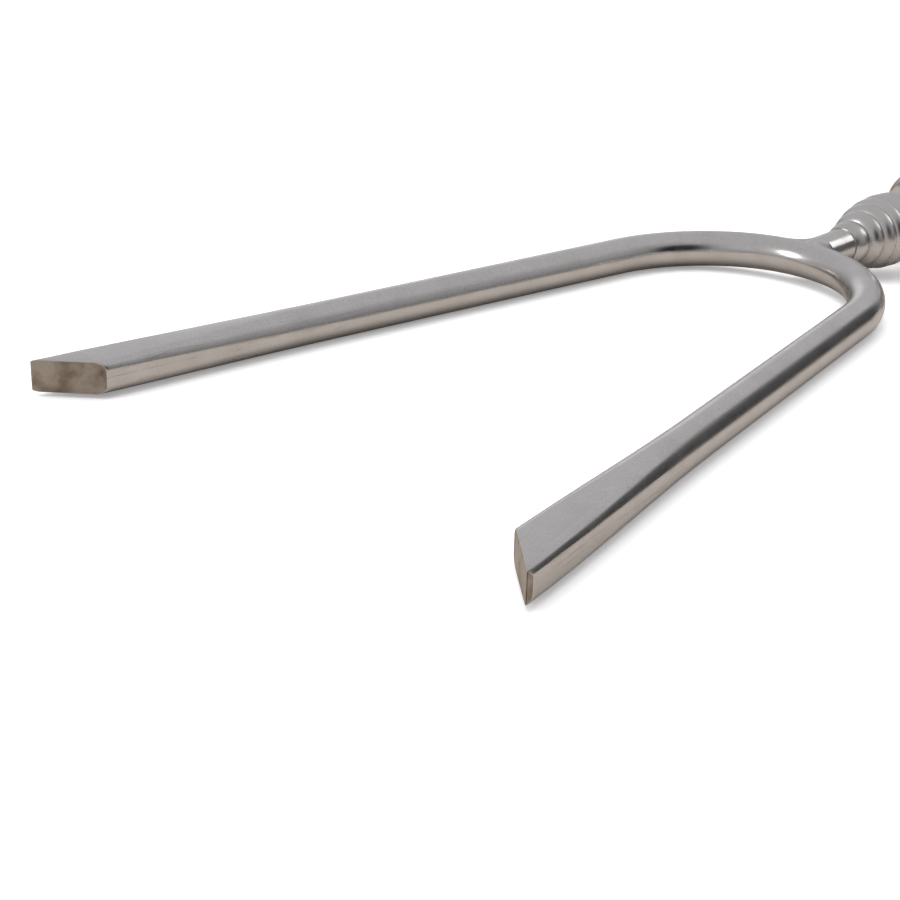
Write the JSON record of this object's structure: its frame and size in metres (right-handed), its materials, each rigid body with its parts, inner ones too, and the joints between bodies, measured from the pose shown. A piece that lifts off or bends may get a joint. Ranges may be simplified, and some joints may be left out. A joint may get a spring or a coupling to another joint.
{
  "type": "divot repair tool",
  "caption": "Golf divot repair tool: bent steel rod fork with sheared, pressed prong ends, ringed ferrule, turned handle and magnetic ball marker in a flared butt.",
  "frame": {"origin": "on the handle's axis, midway between the prong tips and the butt face", "axes": "+Y along the handle's axis, out of the butt; +Z square to the plane of the fork; the prongs point along -Y"},
  "size_m": [0.0304, 0.1086, 0.021],
  "materials": {
    "fork_steel": "drawn and polished stainless rod",
    "turned_steel": "turned, fine satin",
    "bright_steel": "turned and polished",
    "bush_nylon": "moulded nylon",
    "zinc_steel": "zinc plated",
    "magnet_nickel": "nickel plated",
    "marker_metal": "struck and polished",
    "marker_enamel": "cured enamel"
  },
  "bodies": {
    "tool": {"fork_rod": "fork_steel", "stem_rod": "fork_steel", "braze_webs": "fork_steel", "ringed_ferrule": "turned_steel", "front_collar": "bright_steel", "handle_barrel": "turned_steel", "front_bush": "bush_nylon", "rear_bush": "bush_nylon", "stem_washer": "zinc_steel", "lock_washer": "zinc_steel", "stem_nut": "zinc_steel", "rear_collar": "bright_steel", "butt_cap": "turned_steel", "magnet_disc": "magnet_nickel"},
    "marker": {"ball_marker": "marker_metal", "marker_inlay": "marker_enamel"}
  },
  "joints": [
    {"name": "marker_lift", "type": "slide", "parent": "tool", "child": "marker", "axis": [0, 1, 0], "range_m": [0, 0.012]}
  ]
}
